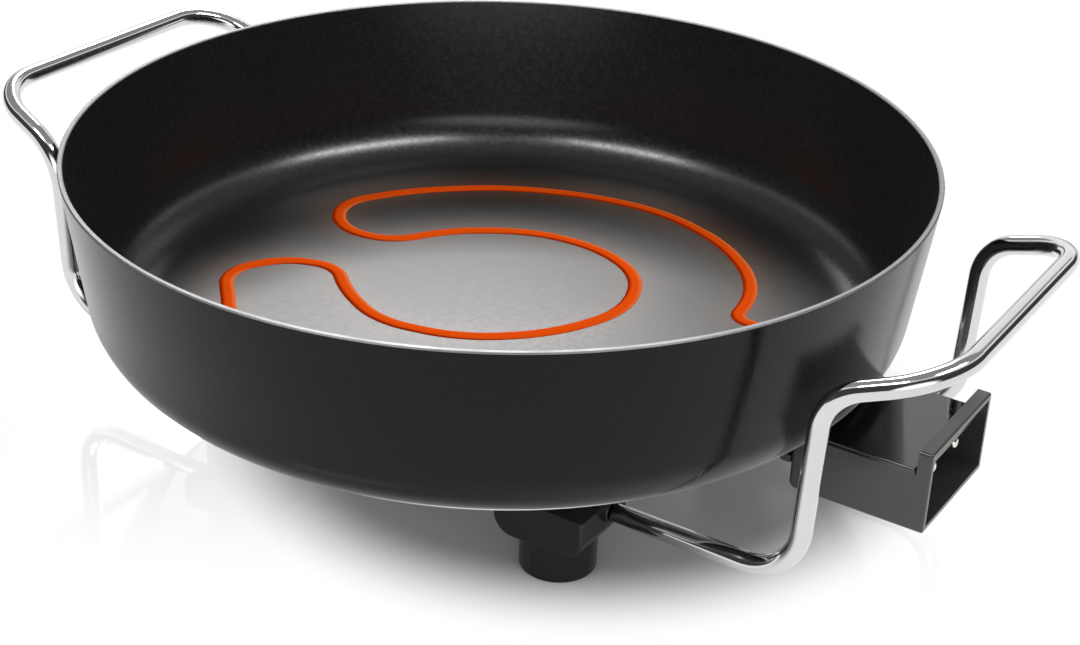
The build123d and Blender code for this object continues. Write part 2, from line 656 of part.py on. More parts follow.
def all_nodes():
    """Every sub-part by name."""
    nodes = {"pan_body": pan_body(), "base_plate": base_plate()}
    nodes.update(element_parts())
    nodes["contact_pin_front"] = contact_pin(-1)
    nodes["contact_pin_rear"] = contact_pin(1)
    nodes["end_seals"] = [end_seal(side) for side in (-1, 1)]
    nodes["probe_sleeve"] = probe_sleeve()
    nodes["pin_carrier"] = pin_carrier()
    nodes["earth_strip"] = earth_strip()
    nodes["earth_rivet"] = earth_rivet()
    nodes["inlet_housing"] = inlet_housing()
    nodes["inlet_cover"] = inlet_cover()
    nodes["inlet_screws"] = tab_screws()
    nodes["cover_screws"] = cover_screws()
    singles = {"foot_bracket": foot_bracket(), "foot_leg": foot_leg(), "foot_pad": foot_pad()}
    for name, shape in singles.items():
        for corner, sides in foot_corners.items():
            nodes[f"{name}_{corner}"] = at_corner(shape, *sides)
    groups = {
        "foot_bosses": foot_boss(),
        "foot_screws": foot_screw(),
        "foot_washers": foot_washer(),
        "rod_set_screws": set_screw(),
        "rod_ferrules": rod_ferrule(),
    }
    for name, shape in groups.items():
        nodes[name] = [at_corner(shape, *sides) for sides in foot_corners.values()]
    leg_top = (RIGHT_LEG_TOP_REACH, RIGHT_LEG_TOP_SPACING, RIGHT_LEG_TOP_DROP)
    bar = (BAR_REACH, RIGHT_BAR_SPACING, RIGHT_BAR_DROP)
    nodes["handle_right"] = handle_rod(leg_top, bar, RIGHT_TOP_BEND, RIGHT_BAR_BEND)
    leg_top = (LEFT_LEG_TOP_REACH, LEFT_LEG_TOP_SPACING, LEFT_LEG_TOP_DROP)
    bar = (BAR_REACH, LEFT_BAR_SPACING, LEFT_BAR_DROP)
    nodes["handle_left"] = mirror(handle_rod(leg_top, bar, LEFT_TOP_BEND, LEFT_BAR_BEND), Plane.YZ)
    return nodes


os.makedirs("parts", exist_ok=True)
for node_name, node_shape in all_nodes().items():
    if isinstance(node_shape, list):
        node_shape = Compound(children=[solid for item in node_shape for solid in item.solids()])
    node_shape.label = node_name
    export_step(node_shape, f"parts/{node_name}.step")
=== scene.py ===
"""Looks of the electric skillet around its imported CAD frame. Metres; +X runs from the pan to the inlet."""

import json
import math

import bmesh
import bpy
from mathutils import Matrix, Vector
from mathutils.kdtree import KDTree


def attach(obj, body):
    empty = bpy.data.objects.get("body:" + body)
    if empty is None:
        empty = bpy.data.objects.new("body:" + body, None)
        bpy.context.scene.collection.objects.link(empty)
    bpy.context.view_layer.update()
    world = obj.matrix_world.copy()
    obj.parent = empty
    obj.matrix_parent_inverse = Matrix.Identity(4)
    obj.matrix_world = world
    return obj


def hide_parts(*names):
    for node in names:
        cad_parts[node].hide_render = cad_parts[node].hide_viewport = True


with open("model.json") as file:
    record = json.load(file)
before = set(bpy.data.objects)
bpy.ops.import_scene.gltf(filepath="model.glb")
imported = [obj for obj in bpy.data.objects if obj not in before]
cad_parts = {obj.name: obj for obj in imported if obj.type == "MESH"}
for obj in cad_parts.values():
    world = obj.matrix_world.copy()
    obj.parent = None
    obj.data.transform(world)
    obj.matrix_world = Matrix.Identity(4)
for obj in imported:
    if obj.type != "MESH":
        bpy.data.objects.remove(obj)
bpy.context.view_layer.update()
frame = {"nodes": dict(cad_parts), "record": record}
nodes = frame["nodes"]
MM = 0.001

# --- camera, solved from the pan's rims, the feet and the inlet ---
CAMERA_AT = (0.4076, -0.6134, 0.4420)
CAMERA_HEADING = math.radians(122.229)  # from +X, of the view direction
CAMERA_PITCH = math.radians(28.115)  # downwards
CAMERA_ROLL = math.radians(2.049)
FOCAL_PIXELS = 1924.3
IMAGE_WIDTH = 1080
SENSOR_WIDTH = 36.0
VIEW_WAY = (math.cos(CAMERA_HEADING), math.sin(CAMERA_HEADING), 0.0)

# --- pan, as in the CAD ---
RIM_RADIUS = 180.0 * MM
RIM_LEVEL = 132.8 * MM
UNDER_LEVEL = 53.6 * MM
FLOOR_LEVEL = 57.45 * MM
PAN_WALL = 2.2 * MM
PAN_DEPTH = RIM_LEVEL - UNDER_LEVEL
WALL_LEAN = 10.2 * MM
OUTER_CORNER = 27.5 * MM
INNER_CORNER = OUTER_CORNER - (FLOOR_LEVEL - UNDER_LEVEL)
LIP_CHAMFER = 0.4 * MM
# the mesh's own: a thin step below the lip, where the coat begins, and the rings that divide it
LIP_GROOVE_DROP = 0.9 * MM
LIP_GROOVE = 0.18 * MM
PAN_TURNS = 240
CORNER_STEPS = 20
UNDER_RADII = (0.0, 50.0 * MM, 100.0 * MM, 130.0 * MM)
OUTER_DROPS = (40.0 * MM, 25.0 * MM, 12.0 * MM, 5.0 * MM, 2.0 * MM)  # below the rim
INNER_DROPS = (2.0 * MM, 6.0 * MM, 15.0 * MM, 30.0 * MM)
FLOOR_RINGS = 48
CRISP_ANGLE = 25.0  # degrees between two faces from which their edge is crisp

# --- heating tube, as in the CAD ---
TUBE_WIDTH = 6.5 * MM
TUBE_CROWN = 0.5 * MM
TUBE_END = 168.0 * MM
TUBE_TURN_IN = 135.3 * MM
TUBE_END_Y = 11.0 * MM
TUBE_BEND_SHARE = 0.48  # of the shorter run beside a bend, which the bend takes up
TUBE_BEND_STEP = math.radians(3.0)
TUBE_COLD_START = 143.0 * MM  # the tube turns into cold steel from here out to its ends
TUBE_COLD_FADE = 4.0 * MM
CROWN_STEPS = 16
BELLY_STEPS = 12
TUBE_LOOPS = [
    (102, 48), (89, 48), (85, 71.5), (73.5, 90.5), (50, 110.5), (12, 124), (-29, 119), (-69, 101),
    (-102, 70), (-119, 40),
    (-103, 18), (-75, 20), (-59, 47), (-28, 69), (7, 72), (36, 58), (48, 26), (34, -9),
    (5, -36), (-34, -44), (-62, -29), (-78, -14), (-102, -22), (-115, -47), (-96, -66), (-72, -92),
    (-33, -113), (12, -119), (52, -107), (75, -86), (85, -69), (89, -48), (102, -48),
]
# painted glow on the pan's floor beside the tube
HALO_REACH = 14.0 * MM
HALO_DEPTH = 4.0 * MM  # points of the pan within this height of its floor take the halo
HALO_STEPS = 4  # points on each piece of the tube's line to which distances are measured

# --- handle rods, as in the CAD ---
ROD_RADIUS = 4.0 * MM
# in millimetres: corners from the foot's end to the bar, and the bends at them
# the left rod is sprung a little wider
ROD_FOOT_END = (90.2, 74.5, 31.1)
ROD_BOTTOM = (181.2, 74.5, 31.1)
RIGHT_CORNERS = [ROD_FOOT_END, ROD_BOTTOM, (184.4, 73.8, 110.5), (226.1, 66.0, 125.4)]
RIGHT_BENDS = (22.0, 20.4, 26.7)
LEFT_CORNERS = [ROD_FOOT_END, ROD_BOTTOM, (180.4, 77.3, 106.8), (226.1, 69.3, 123.4)]
LEFT_BENDS = (22.0, 23.4, 25.3)
ROD_SIDES = 40
ROD_BEND_STEP = math.radians(2.0)

# --- finishes; the scales of noises are per metre ---
NOISE_SPREAD = (0.3, 0.7)  # most of a noise's values lie between these
PATCH_SPREAD = (0.35, 0.75)
COAT_MOTTLE = 420.0
COAT_GRAIN = 2600.0
COAT_STREAKS = 700.0
STREAK_SQUASH = 0.03  # of the noise along Z, which draws it out into upright streaks
COAT_GLOSS_SPREAD = 0.03
SHEEN_ROUGHNESS = 0.3
TOOL_MARKS = 5200.0
TOOL_MARK_DEPTH = 0.03 * MM
TOOL_MARK_TINT = 0.86  # of the metal's colour, in the darkest marks
TURNED_CLOUD = 60.0
METAL_GLOSS_SPREAD = 0.05
PLATED_PATCHES = 90.0
PLATED_CLOUD = 25.0
PLATED_TINT = 0.95
PLATED_WAVES = 70.0
MOULDING_FLOW = 35.0
MOULDING_GLOSS = (-0.03, 0.04)  # added to the roughness
MOULDING_TINT = 1.25
PAINTED_LIGHT_SIDE = (0.55, 0.83, 0.0)  # painted highlight where the tube faces this way, towards the light, and painted shade where it faces away
PAINTED_SHADE_TURN = (-0.17, -0.03)  # shares of facing that way between which the painted shade turns into the glow colour
PAINTED_HIGHLIGHT_TURN = (0.03, 0.17)  # and the glow colour into the painted highlight
# the tube's painted shade, its glow colour and its painted highlight
TUBE_PAINTED_SHADE = (0.36, 0.020, 0.001, 1.0)
TUBE_PAINTED_GLOW = (0.94, 0.095, 0.005, 1.0)
TUBE_PAINTED_HIGHLIGHT = (1.0, 0.21, 0.050, 1.0)
TUBE_OXIDE = (0.85, 0.07, 0.004, 1.0)
OXIDE_CLOUD = 140.0
OXIDE_SPREAD = (0.35, 0.7)
OXIDE_SHARE = 0.15
COLD_STEEL = (0.03, 0.03, 0.032, 1.0)
TUBE_GRAIN = 1500.0
TUBE_GRAIN_DEPTH = 0.01 * MM
# strength of the tube's painted glow
TUBE_GLOW = 0.12
# colour and strength of the painted glow on the pan's floor beside the tube
HALO_COLOUR = (0.20, 0.085, 0.030, 1.0)
HALO_STRENGTH = 0.20
FLOOR_DULLING = 0.06  # added to the roughness of the pan's flat floor
FLOOR_DULLING_FADE = 3.0 * MM


# --- materials ---


class Nodes:
    """A short hand for building one node tree."""

    def __init__(self, tree):
        self.tree = tree
        tree.nodes.clear()

    def add(self, kind, inputs=None, **settings):
        """A node with its settings and its unlinked or linked inputs."""
        node = self.tree.nodes.new(kind)
        for key, value in settings.items():
            setattr(node, key, value)
        for key, value in (inputs or {}).items():
            self.feed(node, key, value)
        return node

    def feed(self, node, key, value):
        """Sets an input to a value, or links it to another node's first or named output."""
        socket = node.inputs[key]
        if isinstance(value, bpy.types.Node):
            value = value.outputs[0]
        if isinstance(value, bpy.types.NodeSocket):
            self.tree.links.new(value, socket)
        else:
            socket.default_value = value

    def place(self):
        """The point's place in its object."""
        return self.add("ShaderNodeTexCoord").outputs["Object"]

    def along(self, axis, vector=None):
        """One coordinate of a vector, or of the point's place: 0, 1 or 2 for X, Y or Z."""
        return self.add("ShaderNodeSeparateXYZ", {0: vector or self.place()}).outputs[axis]

    def measure(self, operation, a, b):
        """A number worked out from two vectors, such as their distance."""
        return self.add("ShaderNodeVectorMath", {0: a, 1: b}, operation=operation).outputs["Value"]

    def math(self, operation, a, b=0.0):
        """One arithmetic step."""
        return self.add("ShaderNodeMath", {0: a, 1: b}, operation=operation)

    def mix(self, factor, a, b):
        """A colour between a and b."""
        return self.add("ShaderNodeMix", {0: factor, 6: a, 7: b}, data_type="RGBA").outputs[2]

    def blend(self, factor, a, b):
        """A number between a and b."""
        return self.add("ShaderNodeMix", {0: factor, 2: a, 3: b}, data_type="FLOAT").outputs[0]

    def ramp(self, value, low, high, out_low=0.0, out_high=1.0):
        """value mapped smoothly from low..high to out_low..out_high."""
        inputs = {"Value": value, "From Min": low, "From Max": high, "To Min": out_low, "To Max": out_high}
        return self.add("ShaderNodeMapRange", inputs, interpolation_type="SMOOTHSTEP", clamp=True)

    def noise(self, scale, detail=2.0, vector=None):
        """A noise value between about 0.25 and 0.75."""
        inputs = {"Vector": vector or self.place(), "Scale": scale, "Detail": detail, "Roughness": 0.5}
        return self.add("ShaderNodeTexNoise", inputs).outputs[0]

    def bump(self, height, distance, under=None):
        """A bumped normal, on top of another one where that is given."""
        node = self.add("ShaderNodeBump", {"Height": height, "Distance": distance, "Strength": 1.0})
        if under:
            self.feed(node, "Normal", under)
        return node

    def ray_kinds(self):
        """Whether a ray comes from the camera, and whether it was mirrored or passed through glass."""
        path = self.add("ShaderNodeLightPath").outputs
        return path["Is Camera Ray"], self.math("MAXIMUM", path["Is Glossy Ray"], path["Is Transmission Ray"])

    def principled(self):
        """The tree's Principled shader."""
        return next(node for node in self.tree.nodes if node.type == "BSDF_PRINCIPLED")

    def show(self, shader, output="ShaderNodeOutputMaterial"):
        """Makes a shader the tree's result."""
        self.tree.links.new(shader.outputs[0], self.add(output).inputs[0])


def new_material(name):
    """A material with an empty tree."""
    material = bpy.data.materials.new(name)
    material.use_nodes = True
    return material, Nodes(material.node_tree)


def finish_material(n, **inputs):
    """A Principled shader with these inputs as the surface."""
    named = {key.replace("_", " "): value for key, value in inputs.items()}
    shader = n.add("ShaderNodeBsdfPrincipled", named)
    n.show(shader)
    return shader


def grey(value):
    """A neutral colour."""
    return (value, value, value, 1.0)


def times(colour, share):
    """A colour made brighter or darker."""
    return tuple(part * share for part in colour[:3]) + (1.0,)


def coat(name, dark, light, rough, index, grain, streaks=0.0, sheen=0.0):
    """A hard dark coat: fine grain, faint mottling, varied gloss and the upright marks of its brushing."""
    material, n = new_material(name)
    mottle = n.noise(COAT_MOTTLE, detail=3.0)
    colour = n.mix(n.ramp(mottle, *NOISE_SPREAD), dark, light)
    gloss = n.ramp(mottle, *NOISE_SPREAD, rough - COAT_GLOSS_SPREAD, rough + COAT_GLOSS_SPREAD)
    normal = n.bump(n.noise(COAT_GRAIN), grain)
    if streaks:
        upright = n.add("ShaderNodeMapping", {"Vector": n.place(), "Scale": (1.0, 1.0, STREAK_SQUASH)})
        normal = n.bump(n.noise(COAT_STREAKS, detail=4.0, vector=upright.outputs[0]), streaks, normal)
    shader = finish_material(n, Base_Color=colour, Roughness=gloss, IOR=index, Normal=normal)
    shader.inputs["Sheen Weight"].default_value = sheen
    shader.inputs["Sheen Roughness"].default_value = SHEEN_ROUGHNESS
    return material, n


def turned_metal(name, colour, rough):
    """Bare metal with fine concentric tool marks about the pan's axis."""
    material, n = new_material(name)
    across = n.add("ShaderNodeSeparateXYZ", {0: n.place()}).outputs
    squares = [n.math("POWER", across[axis], 2.0) for axis in (0, 1)]
    radius = n.math("SQRT", n.math("ADD", *squares))
    inputs = {"W": radius, "Scale": TOOL_MARKS, "Detail": 2.0}
    marks = n.add("ShaderNodeTexNoise", inputs, noise_dimensions="1D").outputs[0]
    tint = n.mix(n.ramp(marks, *NOISE_SPREAD), colour, times(colour, TOOL_MARK_TINT))
    cloud = n.noise(TURNED_CLOUD)
    gloss = n.ramp(cloud, *NOISE_SPREAD, rough - METAL_GLOSS_SPREAD, rough + METAL_GLOSS_SPREAD)
    finish_material(n, Base_Color=tint, Metallic=1.0, Roughness=gloss, Normal=n.bump(marks, TOOL_MARK_DEPTH))
    return material


def polished_metal(name, colour, rough, wave):
    """Plated metal: almost a mirror, with a faint waviness and a few duller patches."""
    material, n = new_material(name)
    gloss = n.ramp(n.noise(PLATED_PATCHES, detail=3.0), *PATCH_SPREAD, rough, rough + METAL_GLOSS_SPREAD)
    tint = n.mix(n.ramp(n.noise(PLATED_CLOUD), *NOISE_SPREAD), colour, times(colour, PLATED_TINT))
    waves = n.bump(n.noise(PLATED_WAVES), wave)
    finish_material(n, Base_Color=tint, Metallic=1.0, Roughness=gloss, Normal=waves)
    return material


def plastic(name, colour, rough, index, grain_scale, grain):
    """A moulding, rubber or powder with a fine texture and slightly uneven gloss."""
    material, n = new_material(name)
    flow = n.noise(MOULDING_FLOW)
    gloss = n.ramp(flow, *NOISE_SPREAD, *(rough + change for change in MOULDING_GLOSS))
    tint = n.mix(n.ramp(flow, *NOISE_SPREAD), colour, times(colour, MOULDING_TINT))
    normal = n.bump(n.noise(grain_scale), grain)
    finish_material(n, Base_Color=tint, Roughness=gloss, IOR=index, Normal=normal)
    return material


outer_coat, _ = coat(
    "outer_coat", (0.0030, 0.0036, 0.0036, 1.0), (0.0055, 0.0064, 0.0064, 1.0), 0.17, 1.28, 0.005 * MM,
    streaks=0.040 * MM, sheen=1.0,
)
inner_coat, inner = coat(
    "inner_coat", (0.0150, 0.0172, 0.0190, 1.0), (0.0185, 0.0210, 0.0232, 1.0), 0.27, 1.6, 0.003 * MM
)
groove_dark, _ = coat("groove_dark", grey(0.003), grey(0.005), 0.6, 1.4, 0.01 * MM)
bare_lip = turned_metal("bare_lip", (0.26, 0.26, 0.265, 1.0), 0.42)
base_metal = turned_metal("base_metal", (0.80, 0.80, 0.80, 1.0), 0.34)
chrome = polished_metal("chrome", (0.72, 0.73, 0.72, 1.0), 0.09, 0.02 * MM)
contact_metal = polished_metal("contact_metal", (0.88, 0.85, 0.78, 1.0), 0.18, 0.02 * MM)
screw_steel = polished_metal("screw_steel", (0.62, 0.62, 0.63, 1.0), 0.28, 0.04 * MM)
# colour, roughness, refractive index, and the scale and depth of the grain
inlet_black = plastic("inlet_black", (0.062, 0.063, 0.060, 1.0), 0.24, 1.65, 1800.0, 0.012 * MM)
cover_black = plastic("cover_black", (0.006, 0.0055, 0.005, 1.0), 0.09, 1.85, 500.0, 0.006 * MM)
foot_black = plastic("foot_black", (0.024, 0.0245, 0.0225, 1.0), 0.18, 1.5, 1500.0, 0.008 * MM)
carrier_brown = plastic("carrier_brown", (0.030, 0.022, 0.018, 1.0), 0.55, 1.5, 1500.0, 0.03 * MM)
pad_rubber = plastic("pad_rubber", (0.018, 0.018, 0.018, 1.0), 0.75, 1.45, 900.0, 0.05 * MM)
seal_rubber = plastic("seal_rubber", (0.45, 0.12, 0.06, 1.0), 0.6, 1.45, 900.0, 0.03 * MM)
powder = plastic("powder", (0.75, 0.73, 0.68, 1.0), 0.9, 1.45, 2500.0, 0.06 * MM)


def painted_glow_tube():
    """The tube with a painted glow: a painted highlight on the side that faces the light and painted shade on
    the other, a fine oxide grain, and cold steel ends that do not glow.
    """
    material, n = new_material("painted_glow_tube")
    # painted shade and highlight by the way the tube faces, over its painted glow colour, with oxide
    side = n.measure("DOT_PRODUCT", n.add("ShaderNodeNewGeometry").outputs["Normal"], PAINTED_LIGHT_SIDE)
    painted_glow_and_oxide = n.mix(n.ramp(side, *PAINTED_SHADE_TURN), TUBE_PAINTED_SHADE, TUBE_PAINTED_GLOW)
    painted_glow_and_oxide = n.mix(n.ramp(side, *PAINTED_HIGHLIGHT_TURN), painted_glow_and_oxide, TUBE_PAINTED_HIGHLIGHT)
    painted_glow_and_oxide = n.mix(n.ramp(n.noise(OXIDE_CLOUD, detail=3.0), *OXIDE_SPREAD, 0.0, OXIDE_SHARE), painted_glow_and_oxide, TUBE_OXIDE)
    cold = n.ramp(n.along(0), TUBE_COLD_START, TUBE_COLD_START + TUBE_COLD_FADE)
    # the painted glow is emitted everywhere but at the cold ends
    shader = finish_material(
        n, Base_Color=n.mix(cold, painted_glow_and_oxide, COLD_STEEL), Roughness=0.5, IOR=1.02,
        Normal=n.bump(n.noise(TUBE_GRAIN), TUBE_GRAIN_DEPTH), Emission_Color=n.mix(cold, painted_glow_and_oxide, grey(0.0)),
        Emission_Strength=TUBE_GLOW,
    )
    shader.inputs["Specular IOR Level"].default_value = 0.0
    return material


tube_painted_glow_look = painted_glow_tube()


def add_halo(n):
    """A painted glow on the pan's floor beside the tube, emitted where the mesh's stored nearness to the tube
    is high.
    """
    halo_nearness = n.add("ShaderNodeAttribute", attribute_name="halo_nearness").outputs["Fac"]
    shader = n.principled()
    n.feed(shader, "Emission Color", n.mix(halo_nearness, grey(0.0), HALO_COLOUR))
    shader.inputs["Emission Strength"].default_value = HALO_STRENGTH


def soften_floor(n):
    """A duller, blasted finish on the pan's flat floor than on its wall and corner."""
    shader = n.principled()
    gloss = shader.inputs["Roughness"].links[0].from_socket
    extra = n.ramp(n.along(2), FLOOR_LEVEL, FLOOR_LEVEL + FLOOR_DULLING_FADE, FLOOR_DULLING, 0.0)
    n.feed(shader, "Roughness", n.math("ADD", gloss, extra))


add_halo(inner)
soften_floor(inner)


# --- geometry helpers ---


def mesh_piece(name, verts, faces, materials, face_slots=None):
    """A smooth mesh object."""
    mesh = bpy.data.meshes.new(name)
    mesh.from_pydata(verts, [], faces)
    for material in materials:
        mesh.materials.append(material)
    if face_slots:
        mesh.polygons.foreach_set("material_index", face_slots)
    mesh.polygons.foreach_set("use_smooth", [True] * len(mesh.polygons))
    mesh.update()
    piece = bpy.data.objects.new(name, mesh)
    bpy.context.scene.collection.objects.link(piece)
    return piece


def arc_points(centre, radius, start, end, steps):
    """Points on an arc in a plane, with angles in radians."""
    angles = [start + (end - start) * i / steps for i in range(steps + 1)]
    return [(centre[0] + radius * math.cos(a), centre[1] + radius * math.sin(a)) for a in angles]


def bent_path(corners, radii, step):
    """The corners as a line, rounded with tangent arcs that have a point for each step of turn."""
    corners = [Vector(corner) for corner in corners]
    points = [corners[0]]
    for before, corner, after, radius in zip(corners, corners[1:], corners[2:], radii):
        back = (before - corner).normalized()
        ahead = (after - corner).normalized()
        turn = math.pi - back.angle(ahead)
        cut = radius * math.tan(turn / 2)
        middle = (back + ahead).normalized()
        centre = corner + middle * (radius / math.cos(turn / 2))
        start = corner + back * cut - centre
        end = corner + ahead * cut - centre
        axis = start.cross(end).normalized()
        steps = max(2, math.ceil(turn / step))
        for k in range(steps + 1):
            points.append(centre + Matrix.Rotation(turn * k / steps, 3, axis) @ start)
    points.append(corners[-1])
    return points


def swept(name, path, section, up, material):
    """A closed section of (sideways, up) points carried along a path, with flat ends; up may be None."""
    verts = []
    faces = []
    sideways = None
    count = len(section)
    for i, point in enumerate(path):
        ahead = (path[min(i + 1, len(path) - 1)] - path[max(i - 1, 0)]).normalized()
        if up is not None:
            sideways = ahead.cross(up).normalized()
        elif sideways is None:
            sideways = ahead.orthogonal().normalized()
        else:
            sideways = (sideways - ahead * sideways.dot(ahead)).normalized()
        across_up = sideways.cross(ahead)
        for a, b in section:
            verts.append(point + sideways * a + across_up * b)
    for i in range(len(path) - 1):
        for k in range(count):
            low = i * count
            j = (k + 1) % count
            faces.append((low + k, low + j, low + count + j, low + count + k))
    faces.append(tuple(range(count))[::-1])
    faces.append(tuple((len(path) - 1) * count + k for k in range(count)))
    piece = mesh_piece(name, verts, faces, [material])
    for face in piece.data.polygons[-2:]:
        face.use_smooth = False
    return piece


# --- pan ---


def pan_profile():
    """The pan's section from the axis under the floor, up the outside, over the lip and back to the axis."""
    lean = math.atan2(WALL_LEAN, PAN_DEPTH)
    slope = math.tan(lean)
    half_turn = (math.pi / 2 - lean) / 2

    groove = LIP_GROOVE_DROP

    def corner_centre(wall_radius_at_bottom, bottom, radius):
        """Centre of the round between a flat bottom and the leaning wall."""
        return (wall_radius_at_bottom - radius * math.tan(half_turn), bottom + radius)

    def outer_at(drop):
        """Radius of the wall's outside at this drop below the rim."""
        return RIM_RADIUS - drop * slope

    inner_bottom = RIM_RADIUS - PAN_WALL - slope * (RIM_LEVEL - FLOOR_LEVEL)
    outer_centre = corner_centre(RIM_RADIUS - WALL_LEAN, UNDER_LEVEL, OUTER_CORNER)
    inner_centre = corner_centre(inner_bottom, FLOOR_LEVEL, INNER_CORNER)
    floor_radii = [inner_centre[0] * (1 - i / FLOOR_RINGS) for i in range(1, FLOOR_RINGS + 1)]
    inner_round = arc_points(inner_centre, INNER_CORNER, -math.pi / 2, -lean, CORNER_STEPS)
    sections = [
        ("outer", [(radius, UNDER_LEVEL) for radius in UNDER_RADII]),
        ("outer", arc_points(outer_centre, OUTER_CORNER, -math.pi / 2, -lean, CORNER_STEPS)),
        ("outer", [(outer_at(drop), RIM_LEVEL - drop) for drop in OUTER_DROPS]),
        ("groove", [
            (outer_at(groove + LIP_GROOVE), RIM_LEVEL - groove - LIP_GROOVE),
            (outer_at(groove) - LIP_GROOVE, RIM_LEVEL - groove),
        ]),
        ("lip", [
            (outer_at(groove - LIP_GROOVE), RIM_LEVEL - groove + LIP_GROOVE),
            (outer_at(LIP_CHAMFER), RIM_LEVEL - LIP_CHAMFER),
            (RIM_RADIUS - LIP_CHAMFER, RIM_LEVEL),
            (RIM_RADIUS - PAN_WALL + LIP_CHAMFER, RIM_LEVEL),
        ]),
        ("inner", [(outer_at(drop) - PAN_WALL, RIM_LEVEL - drop) for drop in (LIP_CHAMFER, *INNER_DROPS)]),
        ("inner", inner_round[::-1]),
        ("inner", [(radius, FLOOR_LEVEL) for radius in floor_radii]),
    ]
    return [(radius, level, part) for part, points in sections for radius, level in points]


def revolved(name, points, materials, turns):
    """A closed solid of revolution about Z; the first and last points lie on the axis."""
    slots = list(materials)
    ring_points = points[1:-1]
    verts = [(0.0, 0.0, points[0][1])]
    for r, z, _ in ring_points:
        for k in range(turns):
            a = 2 * math.pi * k / turns
            verts.append((r * math.cos(a), r * math.sin(a), z))
    verts.append((0.0, 0.0, points[-1][1]))
    faces = []
    face_slots = []

    def at(ring, k):
        """Number of a ring's vertex."""
        return 1 + ring * turns + k % turns

    for k in range(turns):
        faces.append((0, at(0, k + 1), at(0, k)))
        face_slots.append(slots.index(ring_points[0][2]))
    for ring in range(len(ring_points) - 1):
        for k in range(turns):
            faces.append((at(ring, k), at(ring, k + 1), at(ring + 1, k + 1), at(ring + 1, k)))
            face_slots.append(slots.index(ring_points[ring][2]))
    last = len(ring_points) - 1
    for k in range(turns):
        faces.append((len(verts) - 1, at(last, k), at(last, k + 1)))
        face_slots.append(slots.index(ring_points[-1][2]))
    return mesh_piece(name, verts, faces, list(materials.values()), face_slots)


def tube_route():
    """The heating tube's line on the pan's floor."""
    corners = [(TUBE_END, TUBE_END_Y), (TUBE_TURN_IN, TUBE_END_Y)]
    corners += [(x * MM, y * MM) for x, y in TUBE_LOOPS]
    corners += [(TUBE_TURN_IN, -TUBE_END_Y), (TUBE_END, -TUBE_END_Y)]
    corners = [Vector((x, y, FLOOR_LEVEL)) for x, y in corners]
    radii = []
    for before, corner, after in zip(corners, corners[1:], corners[2:]):
        turn = (corner - before).angle(after - corner)
        shorter = min((corner - before).length, (after - corner).length)
        radii.append(TUBE_BEND_SHARE * shorter / math.tan(turn / 2))
    return bent_path(corners, radii, TUBE_BEND_STEP)


def store_halo_nearness(mesh, route):
    """Stores how near each point of the pan's floor is to the tube, for the painted glow beside it."""
    spots = [a.lerp(b, k / HALO_STEPS) for a, b in zip(route, route[1:]) for k in range(HALO_STEPS)]
    tree = KDTree(len(spots))
    for index, spot in enumerate(spots):
        tree.insert(spot, index)
    tree.balance()
    values = []
    for vertex in mesh.vertices:
        value = 0.0
        if abs(vertex.co.z - FLOOR_LEVEL) < HALO_DEPTH:
            distance = tree.find(vertex.co)[2]
            value = math.exp(-((distance / HALO_REACH) ** 2))
        values.append(value)
    mesh.attributes.new("halo_nearness", "FLOAT", "POINT").data.foreach_set("value", values)


def split_at_angle(mesh, degrees):
    """Smooth shading with crisp edges where faces meet at more than this angle."""
    grown = bmesh.new()
    grown.from_mesh(mesh)
    limit = math.radians(degrees)
    for edge in grown.edges:
        edge.smooth = len(edge.link_faces) == 2 and edge.calc_face_angle(0.0) < limit
    grown.to_mesh(mesh)
    grown.free()


pan_parts = {"outer": outer_coat, "groove": groove_dark, "lip": bare_lip, "inner": inner_coat}
pan = revolved("pan_shell", pan_profile(), pan_parts, PAN_TURNS)
route = tube_route()
store_halo_nearness(pan.data, route)
split_at_angle(pan.data, CRISP_ANGLE)


# --- heating tube ---


def tube_section():
    """A half-round belly below the floor and a low crown above it, as (sideways, up) points."""
    half = TUBE_WIDTH / 2
    points = []
    for i in range(CROWN_STEPS + 1):
        a = math.pi * i / CROWN_STEPS
        points.append((-half * math.cos(a), TUBE_CROWN * math.sin(a)))
    for i in range(1, BELLY_STEPS):
        a = math.pi * i / BELLY_STEPS
        points.append((half * math.cos(a), -half * math.sin(a)))
    return points


tube = swept("heating_tube", route, tube_section(), Vector((0, 0, 1)), tube_painted_glow_look)


# --- handle rods ---


def rod(name, side, half, bends):
    """One bent rod from the corners of its +Y half in millimetres; side is -1 for the left."""
    other = [(x, -y, z) for x, y, z in reversed(half)]
    corners = [(side * x * MM, y * MM, z * MM) for x, y, z in half + other]
    radii = [bend * MM for bend in bends + bends[::-1]]
    section = arc_points((0.0, 0.0), ROD_RADIUS, 0.0, 2 * math.pi, ROD_SIDES)[:-1]
    return swept(name, bent_path(corners, radii, ROD_BEND_STEP), section, None, chrome)


rod_right = rod("rod_right", 1, RIGHT_CORNERS, RIGHT_BENDS)
rod_left = rod("rod_left", -1, LEFT_CORNERS, LEFT_BENDS)

# --- what each piece stands for ---
STANDS_FOR = [
    (pan, "pan_body", "pan_coat"),
    (tube, "element_sheath", "element_tube"),
    (rod_right, "handle_right", "rod_chrome"),
    (rod_left, "handle_left", "rod_chrome"),
]
for piece, node, slot in STANDS_FOR:
    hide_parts(node)
    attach(piece, "root")

LOOK_OF_SLOT = {
    "base_metal": base_metal,
    "element_tube": tube_painted_glow_look,
    "element_powder": powder,
    "resistance_wire": screw_steel,
    "contact_metal": contact_metal,
    "seal": seal_rubber,
    "carrier": carrier_brown,
    "inlet_black": inlet_black,
    "cover_black": cover_black,
    "screw_steel": screw_steel,
    "foot_black": foot_black,
    "pad_rubber": pad_rubber,
    "rod_chrome": chrome,
    "pan_coat": outer_coat,
}
for row in frame["record"]["subparts"]:
    for holder in nodes[row["node"]].material_slots:
        holder.material = LOOK_OF_SLOT[row["material_slot"]]

